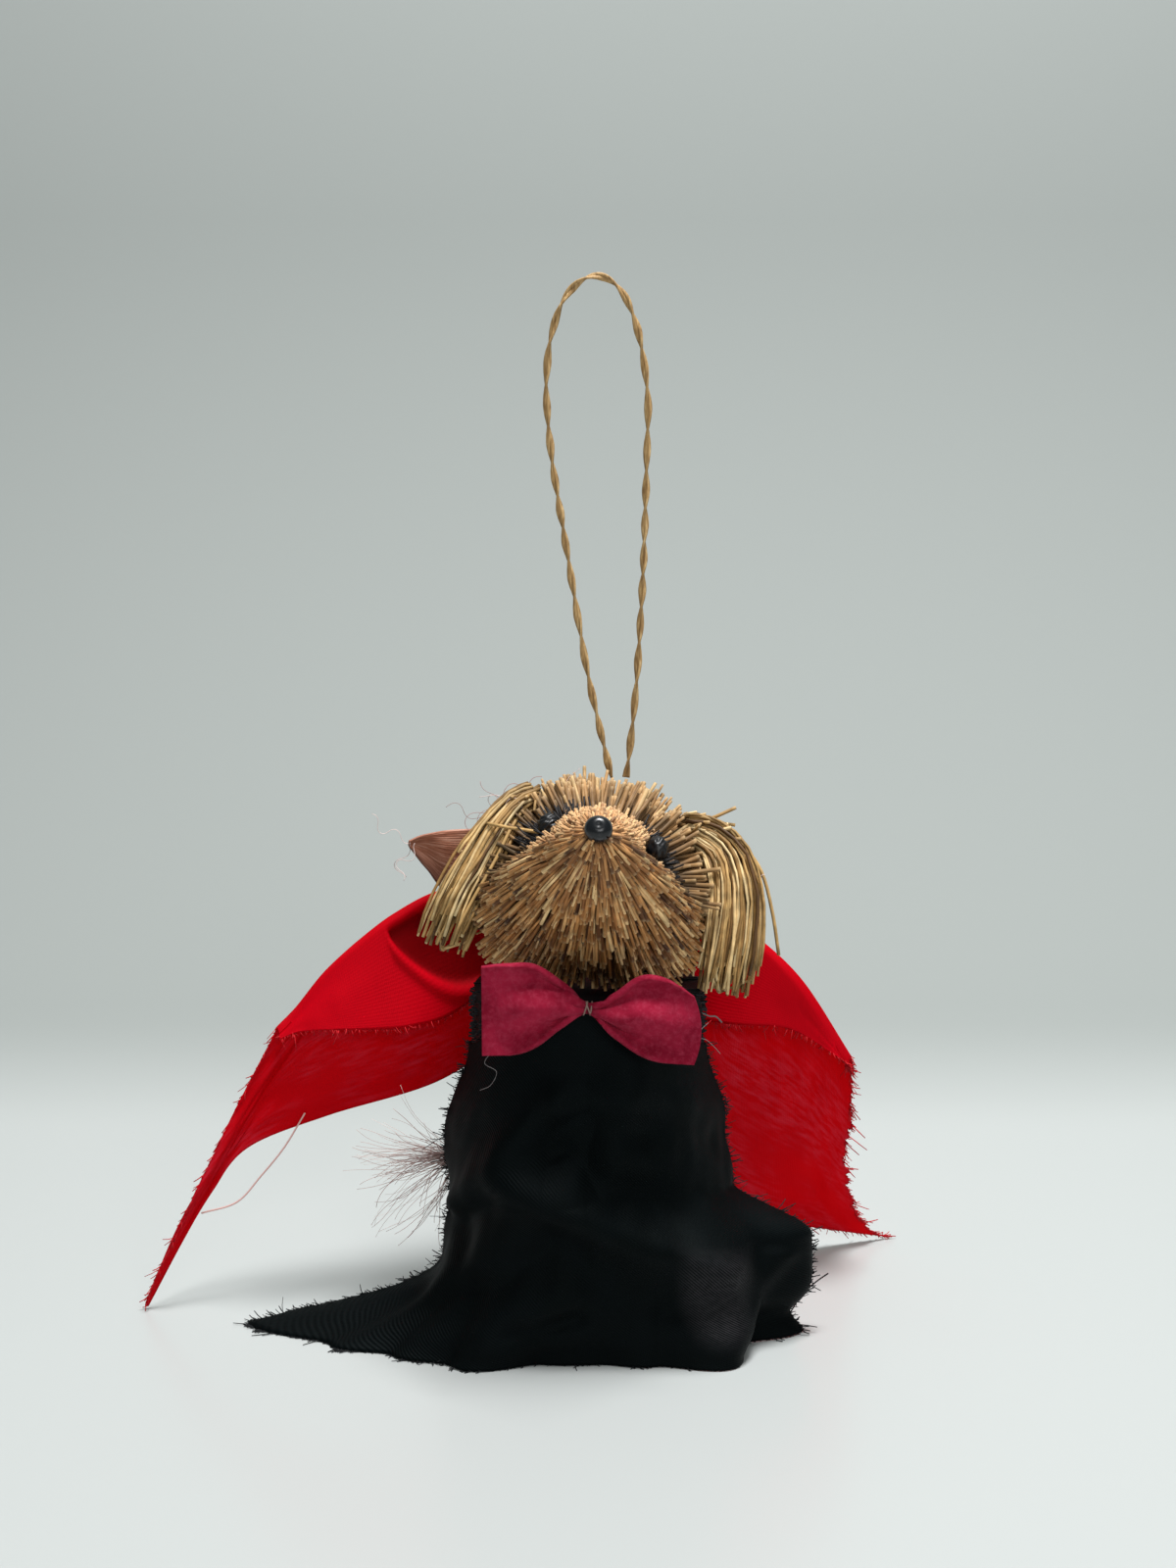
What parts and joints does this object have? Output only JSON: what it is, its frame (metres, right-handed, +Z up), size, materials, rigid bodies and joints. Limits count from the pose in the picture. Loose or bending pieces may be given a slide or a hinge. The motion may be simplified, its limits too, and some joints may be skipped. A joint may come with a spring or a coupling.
{
  "type": "bristle dog ornament",
  "caption": "Small hanging dog ornament made of straw brushes, with drooping straw ears, a felt bow tie, a black cloth gown, a red cloth cape and a twisted cord loop.",
  "frame": {"origin": "middle of the body brush's flat underside, on the surface it stands on", "axes": "+Z up, -Y the way the dog looks, +X to the viewer's right"},
  "size_m": [0.1639, 0.0778, 0.2169],
  "materials": {
    "straw": "trimmed straw bristles, matt",
    "ear_straw": "long pale straws, slightly glossy",
    "black_bristle": "straw bristles dyed black",
    "black_bead": "glossy bead",
    "black_cloth": "thin twill with torn edges",
    "red_cloth": "thin plain weave with frayed edges",
    "raspberry_felt": "pressed felt",
    "brown_ribbon": "coarse woven ribbon",
    "pale_feather": "downy feather",
    "twisted_cord": "two strips of palm fibre twisted together"
  },
  "bodies": {
    "root": {"body": "black_bristle", "head": "straw", "nose": "black_bead", "eye_left": "black_bead", "eye_right": "black_bead", "ear_left": "ear_straw", "ear_right": "ear_straw", "gown": "black_cloth", "bow_tie": "raspberry_felt", "cape": "red_cloth", "back_ribbon": "brown_ribbon", "tail_feather": "pale_feather", "hanging_loop": "twisted_cord"}
  },
  "joints": []
}
